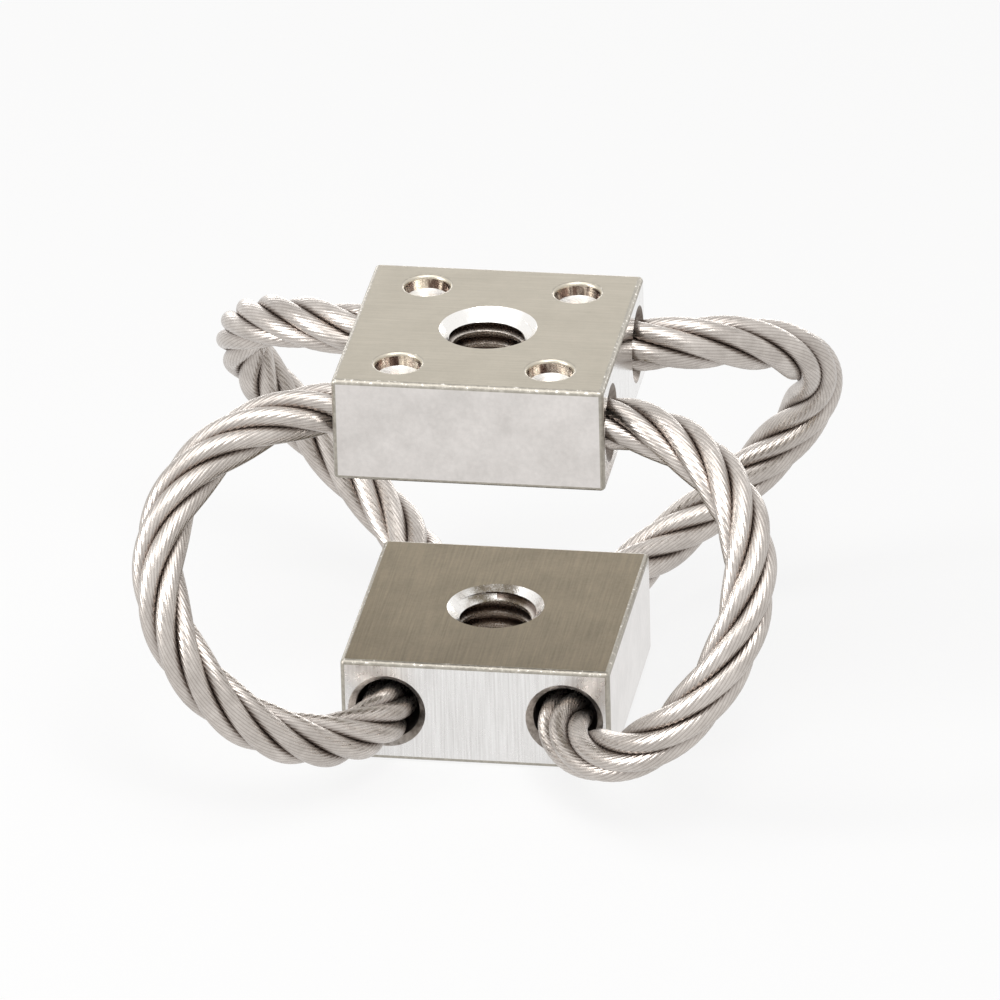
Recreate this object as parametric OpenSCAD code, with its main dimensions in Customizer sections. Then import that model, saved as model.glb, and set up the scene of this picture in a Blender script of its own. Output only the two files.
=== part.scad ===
// Wire rope isolator: two square metal blocks held apart by four loops of stranded wire rope.
// Millimetres, +Z up, standing on the lower block, origin under the middle of that block.

/* [Blocks] */
// Side of each square block
block_side = 25; // [24:0.5:40]
// Thickness of each block
block_thick = 10; // [9:0.5:16]
// Height of the whole part with no load on it
free_height = 38.5; // [32:0.5:60]
// Chamfer that breaks every outer edge of a block
edge_chamfer = 0.4; // [0.1:0.05:0.8]

/* [Tapped hole] */
// Nominal diameter of the thread in the middle of each block
thread_d = 8; // [6:0.5:8.5]
// Pitch of that thread
thread_pitch = 1.25; // [0.75:0.25:1.5]
// Width of the countersink outside the thread, on each side of the hole
countersink_margin = 0.5; // [0.2:0.1:0.9]

/* [Rope channels] */
// Play between the rope and its channel, on each side
channel_play = 0.5; // [0.4:0.05:0.7]
// Metal left between a channel and the block's side
channel_wall = 1.25; // [1:0.05:1.5]
// Chamfer at both mouths of a channel
channel_chamfer = 0.6; // [0.2:0.05:0.8]

/* [Crimps] */
// Diameter of the punched crimps that lock the rope ends
crimp_d = 4.2; // [3:0.1:4.6]
// Rolled lip round each crimp
crimp_lip = 0.4; // [0.2:0.05:0.6]
// Distance from the block's side to the middle of a crimp
crimp_inset = 5.5; // [4:0.1:7]
// Metal left under a crimp, above the rope
crimp_wall = 0.8; // [0.6:0.05:1.2]
// Rise of the crimp's floor from its middle to its wall
crimp_dish = 0.4; // [0:0.05:1]
// Gap between the pushed-in metal and the rope
crimp_gap = 0.1; // [0.05:0.05:0.3]

/* [Rope] */
// Diameter over the rope's strands
rope_d = 5; // [4.4:0.1:5.2]
// Diameter of one outer strand, as a share of the rope's
strand_share = 0.34; // [0.28:0.01:0.35]
// Length in which a strand goes once round the rope, right-hand lay
rope_lay = 28; // [22:0.5:40]
// Gap between the core strand and the outer strands
core_gap = 0.2; // [0.15:0.05:0.3]
// Space between two rope ends that meet inside a channel
end_space = 0.8; // [0.6:0.1:2]

/* [Loops] */
// How far a rope runs on from the block before it starts to turn
loop_lead = 6; // [4:0.5:10]
// How far a loop is thrown out from the block's side
loop_throw = 32.5; // [26:0.5:45]
// How far a loop is swung aside from its channel
loop_spread = 13.25; // [8:0.25:18]
// How far a loop's shoulder lies below its channel
loop_drop = -0.4; // [-2:0.1:4]

/* [Hidden] */
$fn = 64;
over = 1; // how far a cutter reaches past the face it cuts
strand_count = 5;
strand_sides = 6;
strand_rings = 42;
core_rings = 24;
curve_steps = 96;
tangent_step = 0.05;

half_side = block_side / 2;
half_thick = block_thick / 2;
mid_z = free_height / 2;
rise = mid_z - half_thick; // from mid height up to the upper channels' axes

tap_bore_d = thread_d - thread_pitch;
countersink_d = thread_d + 2 * countersink_margin;
channel_d = rope_d + 2 * channel_play;
channel_offset = half_side - channel_wall - channel_d / 2;
crimp_seat = rope_d / 2 + crimp_gap; // underside of the pushed-in metal, above the channel's axis
crimp_depth = half_thick - crimp_seat - crimp_wall;

strand_d = rope_d * strand_share;
strand_offset = (rope_d - strand_d) / 2; // from the rope's axis to a strand's axis
core_d = rope_d - 2 * (strand_d + core_gap);

steel = [0.72, 0.69, 0.63];
wire = [0.76, 0.75, 0.72];

// Each loop's name and the quarter of the part that it stands in
LOOPS = [
    ["front_left", [-1, -1]],
    ["front_right", [1, -1]],
    ["back_left", [-1, 1]],
    ["back_right", [1, 1]]
];
function core_name(loop) = str(loop[0], "_core");
function strand_name(loop, i) = str(loop[0], "_strand_", i);

// Route of the rope: straight in the upper channel, round the loop, straight in the lower channel.
// Written for the +X +Y quarter about mid height. The loop is the same seen from either block.

loop_out = half_side + loop_throw;
loop_aside = channel_offset + loop_spread;
loop_shoulder = rise - loop_drop;
loop_controls = [
    [half_side, channel_offset, rise],
    [half_side + loop_lead, channel_offset, rise],
    [loop_out, loop_aside, loop_shoulder],
    [loop_aside, loop_out, -loop_shoulder],
    [channel_offset, half_side + loop_lead, -rise],
    [channel_offset, half_side, -rise]
];

function bezier(controls, t) = len(controls) == 1
    ? controls[0]
    : bezier([for (i = [0:len(controls) - 2]) controls[i] * (1 - t) + controls[i + 1] * t], t);

curve = [for (i = [0:curve_steps]) bezier(loop_controls, i / curve_steps)];
curve_table = [
    for (i = 0, s = 0; i <= curve_steps; i = i + 1, s = s + norm(curve[min(i, curve_steps)] - curve[i - 1]))
        [s, i / curve_steps]
];
curve_length = curve_table[curve_steps][0];
channel_run = half_side - end_space / 2;
rope_length = 2 * channel_run + curve_length;

function route(s) = s < channel_run
    ? [half_side - channel_run + s, channel_offset, rise]
    : s > channel_run + curve_length
        ? [channel_offset, half_side + channel_run + curve_length - s, -rise]
        : bezier(loop_controls, lookup(s - channel_run, curve_table));

function unit(v) = v / norm(v);
function turned(v, quarter) = [v[0] * quarter[0], v[1] * quarter[1], v[2]];
function rope_point(s, quarter) = turned(route(s), quarter) + [0, 0, mid_z];
function rope_tangent(s, quarter) =
    unit(turned(route(s + tangent_step) - route(s - tangent_step), quarter));

// Normals carried along the rope without twist, from straight up at the first end
function rope_normals(tangents) = [
    for (i = 0, n = [0, 0, 1]; i < len(tangents); i = i + 1, n = carried(n, tangents[min(i, len(tangents) - 1)]))
        n
];
function carried(n, tangent) = unit(n - (n * tangent) * tangent);

// A ring of points round a centre, across a tangent, with its first corner along outward
function ring(centre, tangent, outward, d) =
    let (side = unit(cross(tangent, outward)), up = cross(side, tangent))
    [for (i = [0:strand_sides - 1])
        let (angle = 360 * i / strand_sides)
        centre + d / 2 * (cos(angle) * up + sin(angle) * side)];

module swept(rings) {
    last = len(rings) - 1;
    polyhedron(
        points = [for (points = rings) each points],
        faces = concat(
            [[for (i = [0:strand_sides - 1]) i]],
            [[for (i = [strand_sides - 1:-1:0]) last * strand_sides + i]],
            [for (k = [0:last - 1]) for (i = [0:strand_sides - 1])
                let (a = k * strand_sides, b = a + strand_sides, j = (i + 1) % strand_sides)
                each [[a + i, b + i, b + j], [a + i, b + j, a + j]]]
        )
    );
}

module rope_core(quarter) {
    stations = [for (k = [0:core_rings - 1]) rope_length * k / (core_rings - 1)];
    tangents = [for (s = stations) rope_tangent(s, quarter)];
    normals = rope_normals(tangents);
    color(wire)
        swept([for (k = [0:core_rings - 1])
            ring(rope_point(stations[k], quarter), tangents[k], normals[k], core_d)]);
}

module rope_strand(quarter, place) {
    stations = [for (k = [0:strand_rings - 1]) rope_length * k / (strand_rings - 1)];
    tangents = [for (s = stations) rope_tangent(s, quarter)];
    normals = rope_normals(tangents);
    outwards = [for (k = [0:strand_rings - 1])
        let (phase = 360 * (stations[k] / rope_lay + place / strand_count))
        cos(phase) * normals[k] + sin(phase) * cross(tangents[k], normals[k])];
    centres = [for (k = [0:strand_rings - 1]) rope_point(stations[k], quarter) + strand_offset * outwards[k]];
    color(wire)
        swept([for (k = [0:strand_rings - 1])
            let (ahead = centres[min(k + 1, strand_rings - 1)], behind = centres[max(k - 1, 0)])
            ring(centres[k], unit(ahead - behind), outwards[k], strand_d)]);
}

// Blocks: modelled about their middle, channels along X and crimps on top

module chamfered_rectangle(width, height) {
    x = width / 2;
    y = height / 2;
    c = edge_chamfer;
    polygon([
        [x - c, -y], [x, -y + c], [x, y - c], [x - c, y],
        [-x + c, y], [-x, y - c], [-x, -y + c], [-x + c, -y]
    ]);
}

module broken_block() {
    intersection() {
        linear_extrude(block_thick, center = true) chamfered_rectangle(block_side, block_side);
        rotate([90, 0, 0])
            linear_extrude(block_side, center = true) chamfered_rectangle(block_side, block_thick);
        rotate([90, 0, 90])
            linear_extrude(block_side, center = true) chamfered_rectangle(block_side, block_thick);
    }
}

// Cutter for a through hole along Z whose two mouths flare out at 45 degrees
module flared_hole(d, mouth_d, length) {
    r = d / 2;
    flare = (mouth_d - d) / 2;
    end = length / 2;
    rotate_extrude()
        polygon([
            [0, -end - over], [r + flare + over, -end - over], [r, -end + flare],
            [r, end - flare], [r + flare + over, end + over], [0, end + over]
        ]);
}

// Punched hollow of one crimp, with its top at z = 0
module crimp_hollow() {
    r = crimp_d / 2;
    rotate_extrude()
        polygon([
            [0, -crimp_depth], [r, -crimp_depth + crimp_dish], [r, -crimp_lip],
            [r + crimp_lip + over, over], [0, over]
        ]);
}

module at_channels() {
    for (side = [-1, 1]) translate([0, side * channel_offset, 0]) children();
}

module at_crimps() {
    for (side = [-1, 1]) at_channels() translate([side * (half_side - crimp_inset), 0, 0]) children();
}

module crimped_block() {
    difference() {
        union() {
            difference() {
                broken_block();
                at_channels() rotate([0, 90, 0])
                    flared_hole(channel_d, channel_d + 2 * channel_chamfer, block_side);
            }
            at_crimps() translate([0, 0, crimp_seat]) cylinder(d = crimp_d, h = crimp_wall + crimp_dish);
        }
        flared_hole(tap_bore_d, countersink_d, block_thick);
        at_crimps() translate([0, 0, half_thick]) crimp_hollow();
    }
}

module upper_block() {
    color(steel) translate([0, 0, mid_z + rise]) crimped_block();
}

module lower_block() {
    color(steel) translate([0, 0, mid_z - rise]) rotate([180, 0, 90]) crimped_block();
}

upper_block();
lower_block();
for (loop = LOOPS) {
    rope_core(loop[1]);
    for (i = [1:strand_count])
        rope_strand(loop[1], i);
}
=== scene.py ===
import math

import bpy
import numpy as np
from mathutils import Matrix, Vector
from mathutils.kdtree import KDTree


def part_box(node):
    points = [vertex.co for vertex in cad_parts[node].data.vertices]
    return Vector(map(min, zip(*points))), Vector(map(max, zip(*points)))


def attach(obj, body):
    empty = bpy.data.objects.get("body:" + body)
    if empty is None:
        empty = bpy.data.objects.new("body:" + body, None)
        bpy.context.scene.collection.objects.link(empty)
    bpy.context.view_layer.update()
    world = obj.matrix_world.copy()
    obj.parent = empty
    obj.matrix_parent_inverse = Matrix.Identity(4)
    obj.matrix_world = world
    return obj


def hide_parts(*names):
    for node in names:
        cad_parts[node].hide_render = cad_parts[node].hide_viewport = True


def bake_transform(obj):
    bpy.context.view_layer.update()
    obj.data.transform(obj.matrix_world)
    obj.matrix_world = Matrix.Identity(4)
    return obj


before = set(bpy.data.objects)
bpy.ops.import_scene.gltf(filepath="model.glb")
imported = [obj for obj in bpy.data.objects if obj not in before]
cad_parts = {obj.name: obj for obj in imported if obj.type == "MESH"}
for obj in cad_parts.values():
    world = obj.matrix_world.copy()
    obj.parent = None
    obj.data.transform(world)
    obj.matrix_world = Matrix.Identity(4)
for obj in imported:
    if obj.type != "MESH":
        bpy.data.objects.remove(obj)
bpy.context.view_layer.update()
mm = 0.001
weldDistance = 1e-6  # points nearer than this become one
print("frame loaded:", len(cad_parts), "nodes")

upperLow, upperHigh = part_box("upper_block")
lowerLow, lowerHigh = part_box("lower_block")
midHeight = (upperHigh.z + lowerLow.z) / 2


# Small helpers for the modelling below

def deselectAll():
    if bpy.context.object and bpy.context.object.mode != "OBJECT":
        bpy.ops.object.mode_set(mode="OBJECT")
    bpy.ops.object.select_all(action="DESELECT")


def makeActive(obj):
    deselectAll()
    obj.select_set(True)
    bpy.context.view_layer.objects.active = obj


def addModifier(obj, kind, **settings):
    makeActive(obj)
    modifier = obj.modifiers.new(kind.lower(), kind)
    for key, value in settings.items():
        setattr(modifier, key, value)
    bpy.ops.object.modifier_apply(modifier=modifier.name)


def cutAway(obj, cutter):
    addModifier(obj, "BOOLEAN", operation="DIFFERENCE", solver="EXACT", object=cutter)
    bpy.data.objects.remove(cutter)


def applyPlace(obj):
    makeActive(obj)
    bpy.ops.object.transform_apply(location=True, rotation=True, scale=True)


def addObject(name, data):
    obj = bpy.data.objects.new(name, data)
    bpy.context.scene.collection.objects.link(obj)
    return obj


def noteValues(obj, name, domain, values):
    # a number for each face or point, which a finish reads by its name
    attribute = obj.data.attributes.new(name, "FLOAT", domain)
    attribute.data.foreach_set("value", np.array(values, dtype=np.float32))


def drawProfile(name, points):
    # one vertex, pulled out edge by edge through the points
    deselectAll()
    bpy.ops.mesh.primitive_plane_add(size=mm, location=(0, 0, 0))
    obj = bpy.context.object
    obj.name = name
    bpy.ops.object.mode_set(mode="EDIT")
    bpy.ops.mesh.select_mode(type="VERT")
    bpy.ops.mesh.select_all(action="SELECT")
    bpy.ops.mesh.merge(type="CENTER")
    bpy.ops.transform.translate(value=points[0])
    for before, after in zip(points, points[1:]):
        step = Vector(after) - Vector(before)
        bpy.ops.mesh.extrude_region_move(TRANSFORM_OT_translate={"value": step})
    bpy.ops.object.mode_set(mode="OBJECT")
    return obj


def recalculateNormals(obj, mergeDistance=weldDistance):
    makeActive(obj)
    bpy.ops.object.mode_set(mode="EDIT")
    bpy.ops.mesh.select_all(action="SELECT")
    bpy.ops.mesh.remove_doubles(threshold=mergeDistance)
    bpy.ops.mesh.normals_make_consistent(inside=False)
    bpy.ops.object.mode_set(mode="OBJECT")


def turnProfile(name, points, steps=64):
    obj = drawProfile(name, points)
    addModifier(obj, "SCREW", axis="Z", angle=math.tau, steps=steps,
                use_merge_vertices=True, merge_threshold=weldDistance)
    recalculateNormals(obj)
    return obj


# Blocks: a bevelled cube, drilled for the rope, tapped in the middle and punched at the crimps

blockValues = {
    "edgeBreak": 0.42 * mm,
    "edgeSegments": 3,
    "smoothAngle": 32,  # degrees, sharper edges stay sharp
    "threadDiameter": 8.0 * mm,
    "threadPitch": 1.25 * mm,
    "threadHeight": 0.541,  # height, flank and root flat of the thread, in pitches
    "threadFlank": 0.3125,
    "threadRoot": 0.125,
    "threadSteps": 48,  # faces in one turn of the thread
    "threadShift": 0.58 * mm,  # moves the turns along the hole
    "countersinkDiameter": 9.0 * mm,
    "channelDiameter": 6.0 * mm,
    "channelWall": 1.25 * mm,  # metal between a channel and the side
    "mouthChamfer": 0.6 * mm,
    "crimpDiameter": 4.2 * mm,
    "crimpInset": 5.5 * mm,
    "crimpDepth": 1.6 * mm,
    "crimpDish": 0.4 * mm,  # rise of the floor from its middle to its wall
    "crimpTaper": 0.18 * mm,  # how much smaller the floor is than the mouth, all round
    "crimpLip": 0.34 * mm,  # radius of the rolled lip
    "crimpSteps": 48,  # faces round a crimp
    "dishSteps": 10,
    "dishPower": 2.5,  # how late the floor starts to rise
    "lipSteps": 8,
    "overcut": 2.0 * mm,  # how far a cutter reaches past the face it cuts
    "zoneMargin": 0.02 * mm,  # how far off a tool's surface a face may lie and still be its
    "squareOn": 0.985,  # how straight along an axis a face points, unless it is a filed edge
}


def channelPlace(side):
    # from the block's middle to a channel's axis
    return side / 2 - blockValues["channelWall"] - blockValues["channelDiameter"] / 2


def channelCutter(length):
    v = blockValues
    radius = v["channelDiameter"] / 2
    flare = v["mouthChamfer"]
    end = length / 2
    past = v["overcut"]
    points = [(0, 0, -end - past), (radius + flare + past, 0, -end - past), (radius, 0, -end + flare),
              (radius, 0, end - flare), (radius + flare + past, 0, end + past), (0, 0, end + past)]
    return turnProfile("channelCutter", points)


def countersinkCutter(thickness):
    v = blockValues
    mouth = v["countersinkDiameter"] / 2
    past = v["overcut"]
    end = thickness / 2
    points = [(0, 0, end - mouth), (mouth + past, 0, end + past), (0, 0, end + past)]
    return turnProfile("countersinkCutter", points)


def threadCutter(thickness):
    v = blockValues
    pitch = v["threadPitch"]
    root = v["threadDiameter"] / 2
    crest = root - v["threadHeight"] * pitch
    flank = v["threadFlank"] * pitch
    rootFlat = v["threadRoot"] * pitch
    spareTurns = 2  # past each face of the block, and as much again for the straight ends
    turns = math.ceil(thickness / pitch) + 2 * spareTurns
    z = -turns * pitch / 2
    profile = [(root, 0, z), (root, 0, z + rootFlat), (crest, 0, z + rootFlat + flank),
               (crest, 0, z + pitch - flank), (root, 0, z + pitch)]
    obj = drawProfile("threadCutter", profile)
    addModifier(obj, "SCREW", axis="Z", angle=math.tau, steps=v["threadSteps"],
                screw_offset=pitch, iterations=turns)
    recalculateNormals(obj)
    # both open ends are pulled straight out, flattened and closed
    for sign in (-1, 1):
        makeActive(obj)
        bpy.ops.object.mode_set(mode="EDIT")
        bpy.ops.mesh.select_mode(type="EDGE")
        bpy.ops.mesh.select_all(action="DESELECT")
        bpy.ops.mesh.select_non_manifold(extend=False, use_wire=False, use_multi_face=False,
                                         use_non_contiguous=False, use_verts=False)
        bpy.ops.object.mode_set(mode="OBJECT")
        for edge in obj.data.edges:
            middle = sum(obj.data.vertices[i].co.z for i in edge.vertices) / 2
            edge.select = edge.select and middle * sign > 0
        bpy.ops.object.mode_set(mode="EDIT")
        far = sign * (turns / 2 + spareTurns) * pitch
        pull = (0, 0, sign * spareTurns * pitch)
        bpy.ops.mesh.extrude_edges_move(TRANSFORM_OT_translate={"value": pull})
        bpy.ops.transform.resize(value=(1, 1, 0), center_override=(0, 0, far))
        bpy.ops.mesh.edge_face_add()
        bpy.ops.object.mode_set(mode="OBJECT")
    recalculateNormals(obj)
    obj.location.z = v["threadShift"]
    applyPlace(obj)
    return obj


def crimpCutter():
    v = blockValues
    radius = v["crimpDiameter"] / 2
    lip = v["crimpLip"]
    floorRadius = radius - v["crimpTaper"]
    floorZ = -v["crimpDepth"]
    # dished floor, tapered wall, lip rolled outwards
    points = []
    for i in range(v["dishSteps"] + 1):
        share = i / v["dishSteps"]
        points.append((floorRadius * share, 0, floorZ + v["crimpDish"] * share ** v["dishPower"]))
    for i in range(v["lipSteps"] + 1):
        angle = math.pi / 2 * i / v["lipSteps"]
        points.append((radius + lip * (1 - math.cos(angle)), 0, -lip + lip * math.sin(angle)))
    points.append((radius + lip, 0, v["overcut"]))
    points.append((0, 0, v["overcut"]))
    return turnProfile("crimpCutter", points, steps=v["crimpSteps"])


def noteZones(block, middle, side, thickness, channelOffset, flipped):
    # which tool left each face: tap, countersink, punch, drill or file, for the finish below
    v = blockValues
    crimpPlace = side / 2 - v["crimpInset"]
    crimpReach = v["crimpDiameter"] / 2 + v["crimpLip"]
    near = v["zoneMargin"]
    names = ("tapped", "flared", "punched", "rolled", "drilled", "mouth", "filed", "inner")
    zones = {name: [] for name in names}
    for face in block.data.polygons:
        place = face.center - middle
        along, across = (abs(place.y), abs(place.x)) if flipped else (abs(place.x), abs(place.y))
        outwards = -place.z if flipped else place.z
        squareOn = max(abs(c) for c in face.normal) > v["squareOn"]
        reach = math.hypot(place.x, place.y)
        depth = thickness / 2 - abs(place.z)
        inHole = reach < v["countersinkDiameter"] / 2 - near and depth > near
        onCone = inHole and abs(v["countersinkDiameter"] / 2 - reach - depth) < 3 * near
        punched = (math.hypot(along - crimpPlace, across - channelOffset) < crimpReach
                   and near < thickness / 2 - outwards < v["crimpDepth"] + near)
        drilled = (not punched and math.hypot(across - channelOffset, place.z)
                   < v["channelDiameter"] / 2 + v["mouthChamfer"] and side / 2 - along > near)
        zones["tapped"].append(inHole and not onCone)
        zones["flared"].append(onCone)
        zones["punched"].append(punched)
        zones["rolled"].append(punched and depth < v["crimpLip"])
        zones["drilled"].append(drilled)
        zones["mouth"].append(drilled and side / 2 - along < v["mouthChamfer"] - near)
        zones["filed"].append(not (squareOn or inHole or punched or drilled))
        zones["inner"].append(outwards < -thickness / 2 + near)
    for name, values in zones.items():
        noteValues(block, name, "FACE", values)


def makeBlock(name, node, flipped):
    v = blockValues
    low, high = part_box(node)
    side = high.x - low.x
    thickness = high.z - low.z
    deselectAll()
    bpy.ops.mesh.primitive_cube_add(size=1, location=(0, 0, 0))
    block = bpy.context.object
    block.name = name
    block.scale = (side, side, thickness)
    applyPlace(block)
    bpy.ops.object.mode_set(mode="EDIT")
    bpy.ops.mesh.select_all(action="SELECT")
    bpy.ops.mesh.bevel(offset=v["edgeBreak"], segments=v["edgeSegments"], profile=0.5)
    bpy.ops.object.mode_set(mode="OBJECT")

    channelOffset = channelPlace(side)
    for sign in (-1, 1):
        cutter = channelCutter(side)
        cutter.rotation_euler = (0, math.pi / 2, 0)
        cutter.location = (0, sign * channelOffset, 0)
        applyPlace(cutter)
        cutAway(block, cutter)
    cutAway(block, threadCutter(thickness))
    for turn in (0, math.pi):
        cutter = countersinkCutter(thickness)
        cutter.rotation_euler = (turn, 0, 0)
        applyPlace(cutter)
        cutAway(block, cutter)
    for signX in (-1, 1):
        for signY in (-1, 1):
            cutter = crimpCutter()
            cutter.location = (signX * (side / 2 - v["crimpInset"]), signY * channelOffset, thickness / 2)
            applyPlace(cutter)
            cutAway(block, cutter)

    if flipped:  # the lower block lies upside down, a quarter turn round
        block.rotation_euler = (math.pi, 0, math.pi / 2)
    block.location = (low + high) / 2
    applyPlace(block)
    recalculateNormals(block)
    bpy.ops.object.shade_smooth_by_angle(angle=math.radians(v["smoothAngle"]))
    addModifier(block, "WEIGHTED_NORMAL", weight=100, keep_sharp=True)
    noteZones(block, (low + high) / 2, side, thickness, channelOffset, flipped)
    print(name, "modelled:", len(block.data.polygons), "faces")
    return block


upperBlock = makeBlock("upperBlock", "upper_block", flipped=False)
lowerBlock = makeBlock("lowerBlock", "lower_block", flipped=True)


# Rope: four loops, each of five strands laid round a core, each strand showing its outer wires

ropeValues = {
    "diameter": 4.92 * mm,
    "strandDiameter": 1.85 * mm,
    "coreDiameter": 1.3 * mm,
    "lay": 28.0 * mm,  # right-hand, one turn of a strand
    "wireLay": 17.0 * mm,  # left-hand, one turn of a wire in its strand
    "wires": 18,
    "pointsPerWire": 4,
    "wireDepth": 0.018 * mm,  # groove between two wires
    "ringStep": 0.32 * mm,  # length of rope from one ring of points to the next
    "routeSteps": 400,
    "coreResolution": 2,
    "weldDistance": 1e-8,
    "endSpace": 0.8 * mm,
    "loopLead": 6.0 * mm,
    "loopThrow": 32.5 * mm,
    "loopSpread": 13.25 * mm,
    "loopDrop": -0.4 * mm,
}
loops = (("frontLeft", "front_left", (-1, -1)), ("frontRight", "front_right", (1, -1)),
         ("backLeft", "back_left", (-1, 1)), ("backRight", "back_right", (1, 1)))
strandCount = 5


def bezierPoints(controls, amounts):
    degree = len(controls) - 1
    result = np.zeros((len(amounts), 3))
    for i, control in enumerate(controls):
        share = math.comb(degree, i) * (1 - amounts) ** (degree - i) * amounts ** i
        result += share[:, None] * np.array(control)
    return result


def ropeRoute(quarter):
    # straight in the upper channel, round the loop, straight in the lower channel, at even steps
    v = ropeValues
    side = upperHigh.x - upperLow.x
    halfSide = side / 2
    offset = channelPlace(side)
    rise = (upperLow.z + upperHigh.z) / 2 - midHeight
    out = halfSide + v["loopThrow"]
    aside = offset + v["loopSpread"]
    shoulder = rise - v["loopDrop"]
    controls = [(halfSide, offset, rise), (halfSide + v["loopLead"], offset, rise), (out, aside, shoulder),
                (aside, out, -shoulder), (offset, halfSide + v["loopLead"], -rise), (offset, halfSide, -rise)]
    loop = bezierPoints(controls, np.linspace(0, 1, v["routeSteps"]))
    first = np.array([[v["endSpace"] / 2, offset, rise]])
    last = np.array([[offset, v["endSpace"] / 2, -rise]])
    line = np.concatenate([first, loop, last])
    line = line * np.array([quarter[0], quarter[1], 1]) + np.array([0, 0, midHeight])
    lengths = np.concatenate([[0], np.cumsum(np.linalg.norm(np.diff(line, axis=0), axis=1))])
    rings = round(lengths[-1] / v["ringStep"]) + 1
    even = np.linspace(0, lengths[-1], rings)
    points = np.stack([np.interp(even, lengths, line[:, i]) for i in range(3)], axis=1)
    return even, points


def carriedFrames(points):
    # normals carried along the rope without twist, from straight up at the first end
    tangents = np.gradient(points, axis=0)
    tangents /= np.linalg.norm(tangents, axis=1)[:, None]
    normal = np.array([0.0, 0.0, 1.0])
    normals = []
    for tangent in tangents:
        normal = normal - normal.dot(tangent) * tangent
        normal /= np.linalg.norm(normal)
        normals.append(normal)
    normals = np.array(normals)
    return normals, np.cross(tangents, normals)


def wireProfile():
    # outline of a strand: a ring of wire crowns, as a flat closed curve
    v = ropeValues
    curve = bpy.data.curves.new("wireProfile", "CURVE")
    curve.dimensions = "2D"
    spline = curve.splines.new("POLY")
    count = v["wires"] * v["pointsPerWire"]
    spline.points.add(count - 1)
    spline.use_cyclic_u = True
    for i, point in enumerate(spline.points):
        angle = math.tau * i / count
        crown = abs(math.cos(angle * v["wires"] / 2))
        radius = v["strandDiameter"] / 2 - v["wireDepth"] * 2 * (1 - crown)
        point.co = (radius * math.cos(angle), radius * math.sin(angle), 0, 1)
    return addObject("wireProfile", curve)


def sweptStrand(name, centres, tilts, profile=None, radius=0.0):
    curve = bpy.data.curves.new(name, "CURVE")
    curve.dimensions = "3D"
    curve.twist_mode = "MINIMUM"
    curve.use_fill_caps = True
    if profile:
        curve.bevel_mode = "OBJECT"
        curve.bevel_object = profile
    else:
        curve.bevel_depth = radius
        curve.bevel_resolution = ropeValues["coreResolution"]
    spline = curve.splines.new("POLY")
    spline.points.add(len(centres) - 1)
    spline.points.foreach_set("co", np.column_stack([centres, np.ones(len(centres))]).ravel())
    spline.points.foreach_set("tilt", tilts)
    makeActive(addObject(name, curve))
    bpy.ops.object.convert(target="MESH")
    strand = bpy.context.object
    recalculateNormals(strand, mergeDistance=ropeValues["weldDistance"])
    bpy.ops.object.shade_smooth()
    return strand


def distanceTo(line, places):
    tree = KDTree(len(line))
    for i, point in enumerate(line):
        tree.insert(point, i)
    tree.balance()
    return np.array([tree.find(place)[2] for place in places])


def noteDepths(strand, axis, centres):
    # 0 on the outside and 1 at the bottom: how deep each point lies in the rope, and between two wires
    v = ropeValues
    places = np.zeros(len(strand.data.vertices) * 3)
    strand.data.vertices.foreach_get("co", places)
    places = places.reshape(-1, 3)
    ropeDepth = 1 - distanceTo(axis, places) / (v["diameter"] / 2)
    wireDepth = (v["strandDiameter"] / 2 - distanceTo(centres, places)) / (2 * v["wireDepth"])
    for name, values in (("ropeDepth", ropeDepth), ("wireDepth", wireDepth)):
        noteValues(strand, name, "POINT", np.clip(values, 0, 1))


def makeRopes():
    v = ropeValues
    offset = (v["diameter"] - v["strandDiameter"]) / 2
    profile = wireProfile()
    strands = []
    for loop, node, quarter in loops:
        along, axis = ropeRoute(quarter)
        normals, sides = carriedFrames(axis)
        wireTilt = -math.tau * along / v["wireLay"]
        core = sweptStrand(loop + "Core", axis, wireTilt, radius=v["coreDiameter"] / 2)
        noteDepths(core, axis, axis)
        strands.append((core, node + "_core"))
        for i in range(1, strandCount + 1):
            phase = math.tau * (along / v["lay"] + i / strandCount)
            outward = np.cos(phase)[:, None] * normals + np.sin(phase)[:, None] * sides
            centres = axis + offset * outward
            strand = sweptStrand(loop + "Strand" + str(i), centres, wireTilt, profile=profile)
            noteDepths(strand, axis, centres)
            strands.append((strand, node + "_strand_" + str(i)))
        print(loop, "rope laid:", round(along[-1] / mm, 1), "mm long")
    bpy.data.objects.remove(profile)
    return strands


ropeStrands = makeRopes()


# Finishes

def newMaterial(name):
    material = bpy.data.materials.new(name)
    material.use_nodes = True
    tree = material.node_tree
    tree.nodes.clear()
    output = tree.nodes.new("ShaderNodeOutputMaterial")
    shader = tree.nodes.new("ShaderNodeBsdfPrincipled")
    tree.links.new(shader.outputs["BSDF"], output.inputs["Surface"])
    return material, tree, shader


def addNode(tree, kind, **settings):
    node = tree.nodes.new(kind)
    for key, value in settings.items():
        setattr(node, key, value)
    return node


def feed(tree, socket, value):
    # a number or a colour is set on the socket, another node's output is linked to it
    if isinstance(value, (int, float)):
        socket.default_value = value
    elif isinstance(value, tuple):
        socket.default_value = (*value, 1.0)
    else:
        tree.links.new(value, socket)


def mathNode(tree, operation, first, second=None):
    node = addNode(tree, "ShaderNodeMath", operation=operation)
    feed(tree, node.inputs[0], first)
    if second is not None:
        feed(tree, node.inputs[1], second)
    return node.outputs[0]


def mixNumbers(tree, amount, first, second):
    node = addNode(tree, "ShaderNodeMix", data_type="FLOAT")
    for index, value in ((0, amount), (2, first), (3, second)):
        feed(tree, node.inputs[index], value)
    return node.outputs[0]


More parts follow.
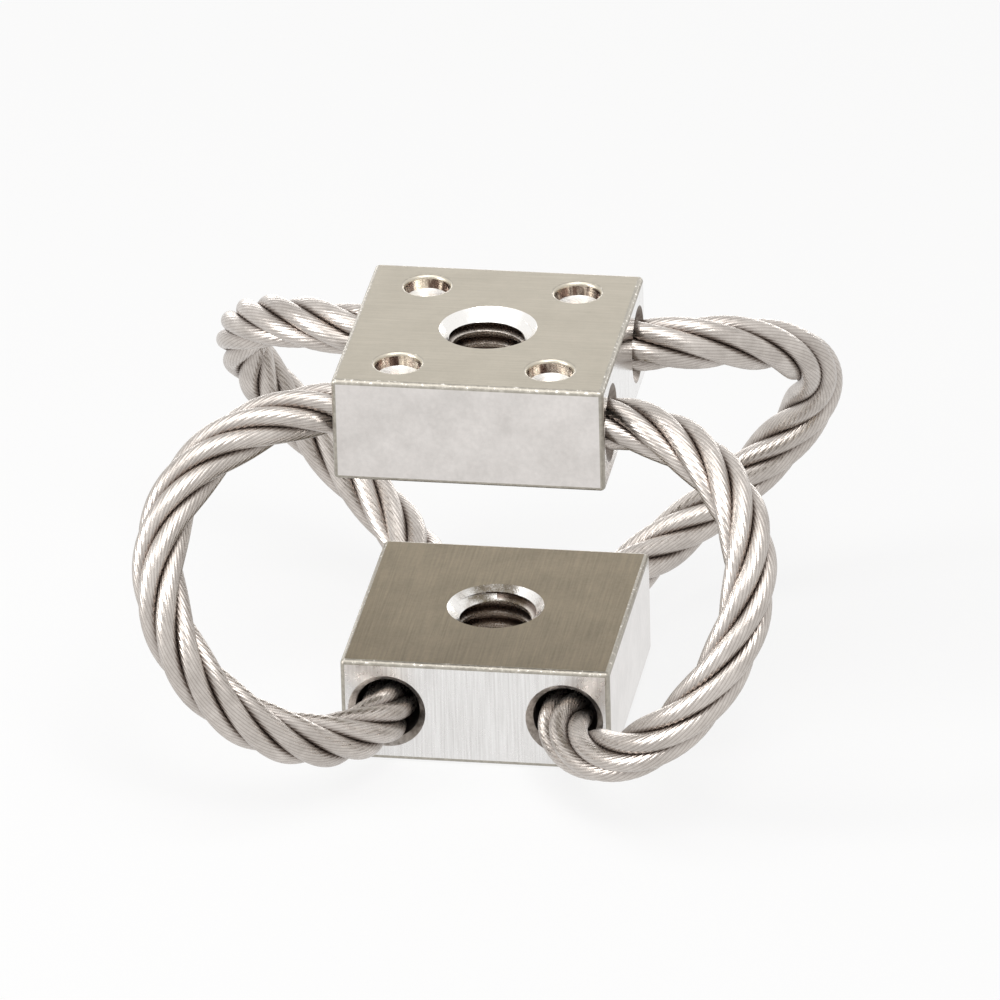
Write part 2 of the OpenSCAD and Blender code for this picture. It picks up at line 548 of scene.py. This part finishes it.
def mixColours(tree, amount, first, second):
    node = addNode(tree, "ShaderNodeMix", data_type="RGBA")
    for index, value in ((0, amount), (6, first), (7, second)):
        feed(tree, node.inputs[index], value)
    return node.outputs[2]


def scaleVector(tree, vector, scale):
    node = addNode(tree, "ShaderNodeVectorMath", operation="MULTIPLY")
    tree.links.new(vector, node.inputs[0])
    node.inputs[1].default_value = scale
    return node.outputs[0]


def remap(tree, value, low, high, toLow=0.0, toHigh=1.0):
    node = addNode(tree, "ShaderNodeMapRange", clamp=True)
    tree.links.new(value, node.inputs[0])
    for socket, number in zip(list(node.inputs)[1:5], (low, high, toLow, toHigh)):
        socket.default_value = number
    return node.outputs[0]


brushingValues = {
    # output: scale, detail, and the range of the noise that is spread to 0 and 1
    "Scratches": (1.0, 4.0, 0.3, 0.7),
    "Clouds": (260.0, 3.0, 0.35, 0.65),
    "Speckles": (2600.0, 2.0, 0.35, 0.65),
}
noiseRoughness = 0.6


def brushingGroup():
    # fine scratches drawn out along one axis, slow clouds and small speckles
    group = bpy.data.node_groups.new("brushing", "ShaderNodeTree")
    group.interface.new_socket("Vector", in_out="INPUT", socket_type="NodeSocketVector")
    group.interface.new_socket("Stretch", in_out="INPUT", socket_type="NodeSocketVector")
    for name in brushingValues:
        group.interface.new_socket(name, in_out="OUTPUT", socket_type="NodeSocketFloat")
    inside = addNode(group, "NodeGroupInput")
    outside = addNode(group, "NodeGroupOutput")
    scaled = addNode(group, "ShaderNodeVectorMath", operation="MULTIPLY")
    group.links.new(inside.outputs["Vector"], scaled.inputs[0])
    group.links.new(inside.outputs["Stretch"], scaled.inputs[1])
    for name, (scale, detail, low, high) in brushingValues.items():
        vector = scaled.outputs[0] if name == "Scratches" else inside.outputs["Vector"]
        noise = addNode(group, "ShaderNodeTexNoise")
        noise.inputs["Scale"].default_value = scale
        noise.inputs["Detail"].default_value = detail
        noise.inputs["Roughness"].default_value = noiseRoughness
        group.links.new(vector, noise.inputs["Vector"])
        group.links.new(remap(group, noise.outputs["Fac"], low, high), outside.inputs[name])
    return group


brushing = brushingGroup()


def useBrushing(tree, vector, stretch):
    node = addNode(tree, "ShaderNodeGroup", node_tree=brushing)
    tree.links.new(vector, node.inputs["Vector"])
    node.inputs["Stretch"].default_value = stretch
    return node.outputs["Scratches"], node.outputs["Clouds"], node.outputs["Speckles"]


def readNoted(tree, name):
    return addNode(tree, "ShaderNodeAttribute", attribute_name=name).outputs["Fac"]


blockFinishValues = {
    # the steel's brightness is set per facing: the flat faces darker as painted shade, the sides lighter as
    # painted light; the mottle and scratches within each are the steel's own
    "outerDark": (0.40, 0.362, 0.295),
    "outerLight": (0.51, 0.465, 0.385),
    # faces turned to the other block: painted shade, a darker copy of the steel where the other block covers
    # them
    "innerShadeDark": (0.165, 0.132, 0.083),
    "innerShadeLight": (0.26, 0.212, 0.14),
    "plainDark": (0.63, 0.60, 0.575),  # sides along the channels, lighter than the flat faces as painted light
    "plainLight": (0.77, 0.735, 0.71),
    "mouthDark": (0.70, 0.685, 0.67),  # sides with the channel mouths, lightest, as painted light
    "mouthLight": (0.90, 0.89, 0.88),
    "filedDark": (0.36, 0.335, 0.29),
    "filedLight": (0.47, 0.44, 0.385),
    "glintColour": (0.80, 0.77, 0.72),  # painted glints: rare bright specks on the upper edges
    "flaredColour": (0.92, 0.90, 0.87),
    "threadColour": (0.72, 0.66, 0.60),
    # painted shade deep in the thread roots
    "shadedRootColour": (0.21, 0.165, 0.14),
    "punchedWallShade": (0.17, 0.12, 0.10),  # painted shade on the wall of a crimp
    # painted streaks of light on the crimp wall
    "punchedWallSheen": (0.86, 0.80, 0.71),
    "punchedFloorHighlight": (0.97, 0.95, 0.92),  # painted highlight on the floor of a crimp
    "rolledLipHighlight": (0.56, 0.515, 0.43),  # painted highlight on the lip of a crimp
    "mouthFlareDark": (0.40, 0.37, 0.34),  # chamfer of the lower block's channel mouths
    "mouthFlareLight": (0.86, 0.83, 0.80),
    "shadowedFlareDark": (0.10, 0.075, 0.06),  # the same on the upper block, darkened as painted shadow where the rope leaves
    "shadowedFlareLight": (0.34, 0.30, 0.265),
    # painted shade inside the channels
    "drilledShadeColour": (0.30, 0.27, 0.25),
    "outerRoughness": 0.36,
    "plainRoughness": 0.40,
    "mouthRoughness": 0.30,
    "acrossRoughness": 0.10,  # left and right sides, ground smoother
    "filedRoughness": 0.42,
    "toolRoughness": 0.22,
    "scratch": 5200.0,  # scratches to the metre, across them
    "scratchAlong": 140.0,
    "wallSheenStretch": (2.2, 2.2, 0.1),  # draws the painted streaks of light out from top to bottom of a crimp
    "mottleSpeckles": 0.5,  # share of the second pattern where two are mixed
    "outerMottle": 0.55,
    "innerClouds": 0.35,
    "plainSpeckles": 0.35,
    "facingRange": (0.75, 0.9),  # how straight along an axis a face points, from not to fully
    "floorHighlightRange": (0.55, 0.85),  # the same for the floor of a crimp, which takes the painted highlight
    "upwardRange": (0.2, 0.5),  # and for the upper edges
    # range of the clouds spread into the painted streaks of light on a crimp wall
    "sheenStreakRange": (0.35, 0.75),
    # share of the speckles that become painted glints
    "glintRange": (0.94, 1.0),
    "rootShadeRange": (3.40 * mm, 3.68 * mm),  # distance from the hole's axis over which the painted shade of the thread roots deepens
    "wearRange": (-0.04, 0.06),  # change of roughness
    "nicks": 2.0,  # height of the nicks in filed edges, against the scratches
    "bump": 0.22,
    "bumpDistance": 0.02 * mm,
}


def blockFinish(name, channelsAlongX):
    v = blockFinishValues
    material, tree, shader = newMaterial(name)
    place = addNode(tree, "ShaderNodeTexCoord").outputs["Object"]
    fine, long = v["scratch"], v["scratchAlong"]
    geometry = addNode(tree, "ShaderNodeNewGeometry")
    facing = addNode(tree, "ShaderNodeSeparateXYZ")
    tree.links.new(geometry.outputs["True Normal"], facing.inputs[0])
    isFlat = remap(tree, mathNode(tree, "ABSOLUTE", facing.outputs["Z"]), *v["facingRange"])
    isAcross = remap(tree, mathNode(tree, "ABSOLUTE", facing.outputs["X"]), *v["facingRange"])
    isMouth = isAcross if channelsAlongX else mathNode(tree, "SUBTRACT", 1.0, isAcross)
    isInner = readNoted(tree, "inner")

    # scratches: along X outside, along Y inside, upright on the mouth sides
    outerScratches, clouds, speckles = useBrushing(tree, place, (long, fine, fine))
    innerScratches = useBrushing(tree, place, (fine, long, fine))[0]
    uprightScratches = useBrushing(tree, place, (fine, fine, long))[0]
    flatScratches = mixNumbers(tree, isInner, outerScratches, innerScratches)
    sideScratches = mixNumbers(tree, isMouth, speckles, uprightScratches)
    scratches = mixNumbers(tree, isFlat, sideScratches, flatScratches)

    mottle = mixNumbers(tree, v["mottleSpeckles"], clouds, speckles)
    outer = mixNumbers(tree, v["outerMottle"], flatScratches, mottle)
    outer = mixColours(tree, outer, v["outerDark"], v["outerLight"])
    # painted shade: the faces turned to the other block take the darker, shaded copy of the steel
    inner = mixNumbers(tree, v["innerClouds"], flatScratches, clouds)
    inner = mixColours(tree, inner, v["innerShadeDark"], v["innerShadeLight"])
    plain = mixNumbers(tree, v["plainSpeckles"], clouds, speckles)
    plain = mixColours(tree, plain, v["plainDark"], v["plainLight"])
    mouth = mixColours(tree, uprightScratches, v["mouthDark"], v["mouthLight"])
    # painted light and shade by facing: the sides lighter, the flat faces darker and the inner faces darkest
    colour = mixColours(tree, isFlat, mixColours(tree, isMouth, plain, mouth),
                        mixColours(tree, isInner, outer, inner))
    roughness = mixNumbers(tree, isMouth, v["plainRoughness"], v["mouthRoughness"])
    roughness = mixNumbers(tree, isAcross, roughness, v["acrossRoughness"])
    roughness = mixNumbers(tree, isFlat, roughness, v["outerRoughness"])

    # painted shade: the thread darkens away from the axis, into its roots
    reach = addNode(tree, "ShaderNodeVectorMath", operation="LENGTH")
    tree.links.new(scaleVector(tree, place, (1, 1, 0)), reach.inputs[0])
    rootShade = remap(tree, reach.outputs["Value"], *v["rootShadeRange"])
    thread = mixColours(tree, rootShade, v["threadColour"], v["shadedRootColour"])

    # a crimp's wall takes painted shade streaked from top to bottom with painted light, and its floor a
    # painted highlight
    floorHighlight = remap(tree, mathNode(tree, "ABSOLUTE", facing.outputs["Z"]), *v["floorHighlightRange"])
    sheenStreaks = useBrushing(tree, scaleVector(tree, place, v["wallSheenStretch"]), (fine, fine, fine))[1]
    shadedWall = mixColours(tree, remap(tree, sheenStreaks, *v["sheenStreakRange"]), v["punchedWallShade"], v["punchedWallSheen"])
    punched = mixColours(tree, floorHighlight, shadedWall, v["punchedFloorHighlight"])

    # painted glints: a few bright specks where a filed edge faces up
    filed = mixColours(tree, speckles, v["filedDark"], v["filedLight"])
    isUpward = remap(tree, facing.outputs["Z"], *v["upwardRange"])
    paintedGlint = mathNode(tree, "MULTIPLY", remap(tree, speckles, *v["glintRange"]), isUpward)
    filed = mixColours(tree, paintedGlint, filed, v["glintColour"])

    # the upper block's mouth chamfers take painted shadow
    flareKind = "shadowedFlare" if channelsAlongX else "mouthFlare"
    flare = mixColours(tree, mottle, v[flareKind + "Dark"], v[flareKind + "Light"])
    for zone, zoneColour, zoneRoughness in (("flared", v["flaredColour"], v["toolRoughness"]),
                                            # painted shade in the thread roots
                                            ("tapped", thread, v["toolRoughness"]),
                                            # painted shade and painted highlights in the crimps
                                            ("punched", punched, v["toolRoughness"]),
                                            # painted highlight on the crimp lips
                                            ("rolled", v["rolledLipHighlight"], v["outerRoughness"]),
                                            # painted shade inside the channels
                                            ("drilled", v["drilledShadeColour"], v["outerRoughness"]),
                                            # mouth chamfers, with painted shadow on the upper block
                                            ("mouth", flare, v["outerRoughness"]),
                                            ("filed", filed, v["filedRoughness"])):
        amount = readNoted(tree, zone)
        colour = mixColours(tree, amount, colour, zoneColour)
        roughness = mixNumbers(tree, amount, roughness, zoneRoughness)

    tree.links.new(colour, shader.inputs["Base Color"])
    wear = remap(tree, speckles, 0, 1, *v["wearRange"])
    tree.links.new(mathNode(tree, "ADD", roughness, wear), shader.inputs["Roughness"])
    # filed edges have nicks in place of scratches
    nicks = mathNode(tree, "MULTIPLY", speckles, v["nicks"])
    relief = mixNumbers(tree, readNoted(tree, "filed"), scratches, nicks)
    bump = addNode(tree, "ShaderNodeBump")
    bump.inputs["Strength"].default_value = v["bump"]
    bump.inputs["Distance"].default_value = v["bumpDistance"]
    tree.links.new(relief, bump.inputs["Height"])
    tree.links.new(bump.outputs["Normal"], shader.inputs["Normal"])
    shader.inputs["Metallic"].default_value = 1.0
    return material


ropeFinishValues = {
    "dark": (0.46, 0.42, 0.385),
    "light": (0.68, 0.63, 0.585),
    # dark colour for the lines between wires and, deeper in the rope, for its dirt and painted shade
    "groove": (0.14, 0.105, 0.09),
    "grooveStart": 0.12,  # depth in the rope at which the darkening begins: dirt held between the strands, and painted shade
    "grooveEnd": 0.42,
    "wireLine": 0.42,  # how dark the lines between two wires are
    "wireLineRange": (0.4, 1.0),  # depth between two wires, from where a line starts
    "roughness": 0.30,
    "wearRange": (-0.05, 0.07),  # change of roughness
    "grain": 1500.0,  # marks to the metre
    "grainShare": 0.4,
}


def ropeFinish():
    v = ropeFinishValues
    material, tree, shader = newMaterial("drawnWire")
    place = addNode(tree, "ShaderNodeTexCoord").outputs["Object"]
    scratches, clouds, speckles = useBrushing(tree, place, (v["grain"], v["grain"], v["grain"]))
    colour = mixColours(tree, mixNumbers(tree, v["grainShare"], clouds, scratches), v["dark"], v["light"])
    line = remap(tree, readNoted(tree, "wireDepth"), *v["wireLineRange"], 0.0, v["wireLine"])
    colour = mixColours(tree, line, colour, v["groove"])
    # darker deeper in the rope: partly dirt held between the strands, partly painted shade where they meet
    sunkDirtAndShade = remap(tree, readNoted(tree, "ropeDepth"), v["grooveStart"], v["grooveEnd"])
    tree.links.new(mixColours(tree, sunkDirtAndShade, colour, v["groove"]), shader.inputs["Base Color"])
    wear = remap(tree, speckles, 0, 1, *v["wearRange"])
    tree.links.new(mathNode(tree, "ADD", wear, v["roughness"]), shader.inputs["Roughness"])
    shader.inputs["Metallic"].default_value = 1.0
    return material


upperFinish = blockFinish("brushedSteelUpper", channelsAlongX=True)
lowerFinish = blockFinish("brushedSteelLower", channelsAlongX=False)
wireFinish = ropeFinish()


def dress(obj, material):
    obj.data.materials.clear()
    obj.data.materials.append(material)


for block, finish, node, body in ((upperBlock, upperFinish, "upper_block", "upper"),
                                  (lowerBlock, lowerFinish, "lower_block", "lower")):
    dress(block, finish)
    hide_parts(node)
    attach(block, body)

# each strand takes the wire finish, hides its frame part and is baked in place
for strand, node in ropeStrands:
    dress(strand, wireFinish)
    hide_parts(node)
    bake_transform(strand)
print("finishes set")


# Floor, light and camera

stageValues = {
    "floorSize": 6.0,
    "floorGap": 0.02 * mm,  # keeps the floor off the block's underside
    "floorColour": (0.86, 0.86, 0.86),
    "floorRoughness": 0.9,
    "floorGlow": 0.82,  # how far the camera sees the floor as plain white
    "worldColour": (0.30, 0.293, 0.285),
}


def seenPlainly(tree):
    # 1 where the camera sees the background, directly, mirrored or through something
    path = addNode(tree, "ShaderNodeLightPath")
    direct = mathNode(tree, "MAXIMUM", path.outputs["Is Camera Ray"], path.outputs["Is Glossy Ray"])
    return mathNode(tree, "MAXIMUM", direct, path.outputs["Is Transmission Ray"])


def findNode(tree, kind):
    return next(node for node in tree.nodes if node.type == kind)


def makeFloor():
    v = stageValues
    deselectAll()
    level = lowerLow.z - v["floorGap"]
    bpy.ops.mesh.primitive_plane_add(size=v["floorSize"], location=(0, 0, level))
    floor = bpy.context.object
    floor.name = "studioFloor"
    applyPlace(floor)
    material, tree, shader = newMaterial("paleFloor")
    shader.inputs["Base Color"].default_value = (*v["floorColour"], 1.0)
    shader.inputs["Roughness"].default_value = v["floorRoughness"]
    shader.inputs["Specular IOR Level"].default_value = 0.0
    glow = addNode(tree, "ShaderNodeEmission")
    glow.inputs["Color"].default_value = (1, 1, 1, 1)
    mix = addNode(tree, "ShaderNodeMixShader")
    tree.links.new(mathNode(tree, "MULTIPLY", seenPlainly(tree), v["floorGlow"]), mix.inputs[0])
    tree.links.new(shader.outputs["BSDF"], mix.inputs[1])
    tree.links.new(glow.outputs[0], mix.inputs[2])
    tree.links.new(mix.outputs[0], findNode(tree, "OUTPUT_MATERIAL").inputs["Surface"])
    dress(floor, material)


def makeWorld():
    world = bpy.data.worlds.new("studioWorld")
    bpy.context.scene.world = world
    world.use_nodes = True
    tree = world.node_tree
    background = findNode(tree, "BACKGROUND")
    colour = mixColours(tree, seenPlainly(tree), stageValues["worldColour"], (1.0, 1.0, 1.0))
    tree.links.new(colour, background.inputs["Color"])
    background.inputs["Strength"].default_value = 1.0


lampValues = {
    # name: azimuth and elevation in degrees, distance, width, height, radiance
    "keyBox": (-62, 24, 0.55, 0.18, 0.36, 9.0),
    "fillBox": (30, 55, 0.60, 0.20, 0.24, 5.0),
    "topBox": (0, 76, 0.60, 0.55, 0.50, 1.6),
    "rimBox": (185, 6, 0.60, 0.70, 0.10, 4.0),
}


def makeLamps():
    centre = Vector((0, 0, midHeight))
    for name, (azimuth, elevation, distance, width, height, radiance) in lampValues.items():
        data = bpy.data.lights.new(name, "AREA")
        data.shape = "RECTANGLE"
        data.size = width
        data.size_y = height
        data.energy = radiance * math.pi * width * height
        lamp = addObject(name, data)
        a, e = math.radians(azimuth), math.radians(elevation)
        away = Vector((math.sin(a) * math.cos(e), -math.cos(a) * math.cos(e), math.sin(e)))
        lamp.location = centre + away * distance
        lamp.rotation_mode = "QUATERNION"
        lamp.rotation_quaternion = away.to_track_quat("Z", "Y")


cameraValues = {
    "azimuth": 9.71,  # degrees, as elevation and roll
    "elevation": 26.31,
    "roll": -1.51,
    "distance": 1200.0 * mm,
    "pixelsPerMetre": 10869.0,
    "imageSize": 1000.0,
    "sensorWidth": 36.0,
    "clip": (0.05, 20.0),
    "centrePixel": (493.2, 516.1),  # where the middle of the part stands in the photograph
}


def makeCamera():
    v = cameraValues
    a, e, r = (math.radians(v[key]) for key in ("azimuth", "elevation", "roll"))
    level = Vector((math.cos(a), math.sin(a), 0))
    ahead = Vector((-math.sin(a) * math.cos(e), math.cos(a) * math.cos(e), -math.sin(e)))
    upward = level.cross(ahead)
    right = level * math.cos(r) + upward * math.sin(r)
    up = upward * math.cos(r) - level * math.sin(r)
    data = bpy.data.cameras.new("photoCamera")
    data.sensor_width = v["sensorWidth"]
    data.lens = v["pixelsPerMetre"] * v["distance"] * data.sensor_width / v["imageSize"]
    data.clip_start, data.clip_end = v["clip"]
    camera = addObject("photoCamera", data)
    middle = v["imageSize"] / 2
    sideways = (middle - v["centrePixel"][0]) / v["pixelsPerMetre"]
    upwards = (v["centrePixel"][1] - middle) / v["pixelsPerMetre"]
    aim = Vector((0, 0, midHeight)) + right * sideways + up * upwards
    camera.matrix_world = Matrix((right, up, -ahead)).transposed().to_4x4()
    camera.location = aim - ahead * v["distance"]
    bpy.context.scene.camera = camera


makeFloor()
makeWorld()
makeLamps()
makeCamera()
bpy.context.scene.view_settings.view_transform = "Standard"
print("stage set")

deselectAll()
